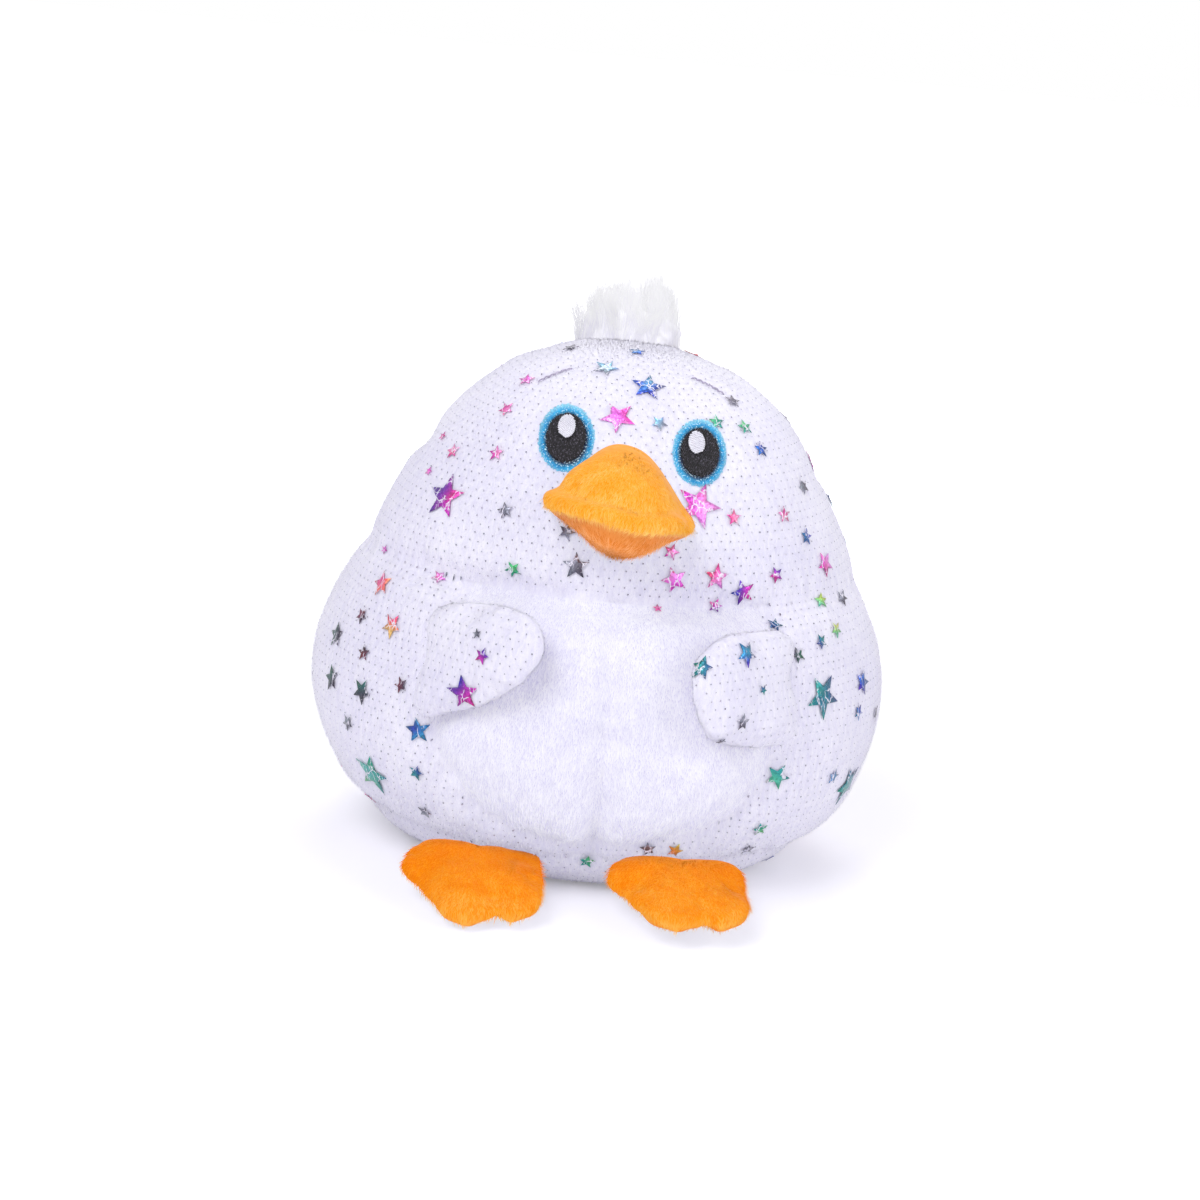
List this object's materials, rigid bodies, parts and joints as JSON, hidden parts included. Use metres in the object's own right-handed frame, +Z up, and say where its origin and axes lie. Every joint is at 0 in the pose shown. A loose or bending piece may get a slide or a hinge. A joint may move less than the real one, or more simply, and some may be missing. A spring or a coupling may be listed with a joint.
{
  "type": "plush chick",
  "caption": "Stuffed toy chick: a seated pear-shaped body of star-printed cloth with a plain belly, wide orange beak, flippers, webbed feet and a tuft of fur.",
  "frame": {"origin": "middle of the flat seat, on the surface that the chick sits on", "axes": "+Z up through the crown, -Y the way the face looks, +X to the chick's own left"},
  "size_m": [0.141, 0.138, 0.1416],
  "materials": {
    "star_cloth": "short white pile with printed foil stars and dots",
    "belly_plush": "plain white plush with an upright nap",
    "orange_plush": "orange plush with a short pile",
    "blue_thread": "satin stitch",
    "black_thread": "satin stitch",
    "white_thread": "satin stitch",
    "lilac_thread": "one line of stitches",
    "white_fur": "long soft faux fur",
    "fibre_filling": "loose polyester fibre"
  },
  "bodies": {
    "body": {"face_panel": "star_cloth", "head_back_left": "star_cloth", "head_back_right": "star_cloth", "belly_left": "belly_plush", "belly_right": "belly_plush", "side_left": "star_cloth", "side_right": "star_cloth", "base_panel": "star_cloth", "body_filling": "fibre_filling", "beak_upper": "orange_plush", "beak_lower": "orange_plush", "beak_filling": "fibre_filling", "eye_left_ring": "blue_thread", "eye_left_pupil": "black_thread", "eye_left_glint": "white_thread", "eye_right_ring": "blue_thread", "eye_right_pupil": "black_thread", "eye_right_glint": "white_thread", "brow_left": "lilac_thread", "brow_right": "lilac_thread"},
    "wing_left": {"wing_left_outer": "star_cloth", "wing_left_inner": "star_cloth", "wing_left_filling": "fibre_filling"},
    "wing_right": {"wing_right_outer": "star_cloth", "wing_right_inner": "star_cloth", "wing_right_filling": "fibre_filling"},
    "foot_left": {"foot_left_top": "orange_plush", "foot_left_sole": "orange_plush", "foot_left_filling": "fibre_filling"},
    "foot_right": {"foot_right_top": "orange_plush", "foot_right_sole": "orange_plush", "foot_right_filling": "fibre_filling"},
    "tuft": {"head_tuft": "white_fur"}
  },
  "joints": [
    {"name": "wing_left_flap", "type": "hinge", "parent": "body", "child": "wing_left", "pos_m": [0.04051, -0.04779, 0.05713], "axis": [-0.1407, 0.1756, 0.9744], "range_deg": [0, 110], "stiffness_Nm_per_rad": 0.002},
    {"name": "wing_right_flap", "type": "hinge", "parent": "body", "child": "wing_right", "pos_m": [-0.04051, -0.04779, 0.05713], "axis": [-0.1407, -0.1756, -0.9744], "range_deg": [0, 110], "stiffness_Nm_per_rad": 0.002},
    {"name": "foot_left_flex", "type": "hinge", "parent": "body", "child": "foot_left", "pos_m": [0.02114, -0.0452, 0.00958], "axis": [-1, 0, 0], "range_deg": [-9, 20], "stiffness_Nm_per_rad": 0.003},
    {"name": "foot_right_flex", "type": "hinge", "parent": "body", "child": "foot_right", "pos_m": [-0.02718, -0.04279, 0.00958], "axis": [-1, 0, 0], "range_deg": [-4, 20], "stiffness_Nm_per_rad": 0.003},
    {"name": "tuft_sway", "type": "hinge", "parent": "body", "child": "tuft", "pos_m": [0, 0.008, 0.12649], "axis": [1, 0, 0], "range_deg": [-25, 25], "stiffness_Nm_per_rad": 0.002}
  ]
}
